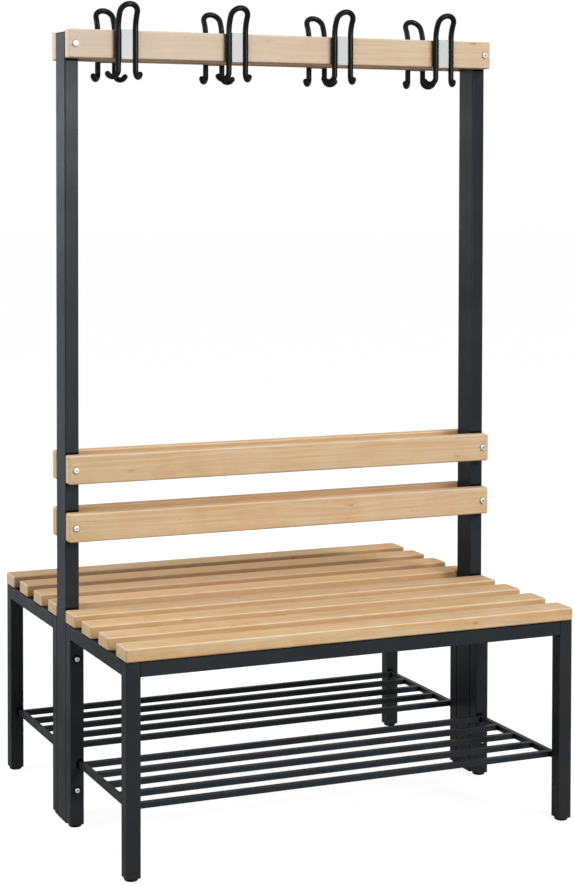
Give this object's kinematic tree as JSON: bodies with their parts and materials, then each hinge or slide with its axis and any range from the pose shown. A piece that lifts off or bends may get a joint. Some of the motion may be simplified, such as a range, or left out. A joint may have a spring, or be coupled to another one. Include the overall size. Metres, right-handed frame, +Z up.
{
  "type": "double-sided cloakroom bench",
  "caption": "Free-standing double-sided bench with slatted wooden seats, backrest boards, shoe racks under the seats and coat rails with bent-rod hooks on two steel posts.",
  "frame": {"origin": "on the floor, midway between the two posts, under the middle of the bench", "axes": "+X along the bench, -Y towards the viewer's side, +Z up"},
  "size_m": [1.002, 0.804, 1.7233],
  "materials": {
    "frame": "satin anthracite powder coat",
    "beech": "clear matt lacquer on pale beech",
    "hook_rod": "black satin coat",
    "hook_plate": "light grey coat",
    "zinc": "bright zinc plate",
    "black_plastic": "fine matt"
  },
  "bodies": {
    "root": {"bench_bolts": "zinc", "board_bolts": "zinc", "front_coat_rail_board": "beech", "front_hook_1": "hook_rod", "front_hook_2": "hook_rod", "front_hook_3": "hook_rod", "front_hook_4": "hook_rod", "front_hook_plate_1": "hook_plate", "front_hook_plate_2": "hook_plate", "front_hook_plate_3": "hook_plate", "front_hook_plate_4": "hook_plate", "front_inner_left_leg": "frame", "front_inner_long_rail": "frame", "front_inner_right_leg": "frame", "front_left_end_rail": "frame", "front_lower_backrest_board": "beech", "front_outer_left_leg": "frame", "front_outer_long_rail": "frame", "front_outer_right_leg": "frame", "front_rack_bars": "frame", "front_rack_side_bars": "frame", "front_right_end_rail": "frame", "front_slat_1": "beech", "front_slat_2": "beech", "front_slat_3": "beech", "front_slat_4": "beech", "front_upper_backrest_board": "beech", "glides": "black_plastic", "hook_screws": "zinc", "left_post": "frame", "post_foot_plugs": "black_plastic", "post_top_caps": "black_plastic", "rear_coat_rail_board": "beech", "rear_hook_1": "hook_rod", "rear_hook_2": "hook_rod", "rear_hook_3": "hook_rod", "rear_hook_4": "hook_rod", "rear_hook_plate_1": "hook_plate", "rear_hook_plate_2": "hook_plate", "rear_hook_plate_3": "hook_plate", "rear_hook_plate_4": "hook_plate", "rear_inner_left_leg": "frame", "rear_inner_long_rail": "frame", "rear_inner_right_leg": "frame", "rear_left_end_rail": "frame", "rear_lower_backrest_board": "beech", "rear_outer_left_leg": "frame", "rear_outer_long_rail": "frame", "rear_outer_right_leg": "frame", "rear_rack_bars": "frame", "rear_rack_side_bars": "frame", "rear_right_end_rail": "frame", "rear_slat_1": "beech", "rear_slat_2": "beech", "rear_slat_3": "beech", "rear_slat_4": "beech", "rear_upper_backrest_board": "beech", "right_post": "frame", "slat_screws": "zinc", "threaded_inserts": "zinc"}
  },
  "joints": []
}
